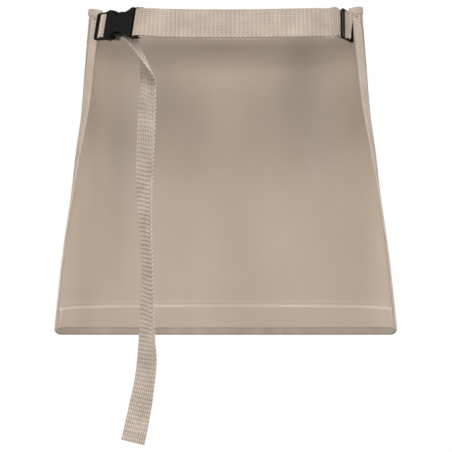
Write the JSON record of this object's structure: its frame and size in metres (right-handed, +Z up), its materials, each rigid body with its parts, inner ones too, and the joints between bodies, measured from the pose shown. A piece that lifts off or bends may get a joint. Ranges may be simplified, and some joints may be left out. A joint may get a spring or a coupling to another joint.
{
  "type": "gardening apron",
  "caption": "Half apron of coated cloth hanging in its worn curve, taped round its edges, with a buckled webbing waist belt and a long free strap end.",
  "frame": {"origin": "middle of the wearer's waist, at the belt's mid height", "axes": "+Z up, +Y the way the wearer faces, so the panel is on the +Y side and the belt on the -Y side; +X to the wearer's right"},
  "size_m": [0.4666, 0.2332, 0.594],
  "materials": {
    "coated_cloth": "taupe cloth with a satin coating",
    "binding_tape": "taupe woven tape",
    "strap_webbing": "taupe ribbed webbing",
    "belt_webbing": "taupe woven webbing",
    "buckle_plastic": "black moulded plastic",
    "slider_plastic": "black moulded plastic"
  },
  "bodies": {
    "root": {"panel": "coated_cloth", "edge_binding": "binding_tape", "top_binding": "binding_tape", "tail_strap": "strap_webbing", "waist_belt": "belt_webbing", "buckle_plug": "buckle_plastic", "buckle_socket": "buckle_plastic", "slider": "slider_plastic"}
  },
  "joints": []
}
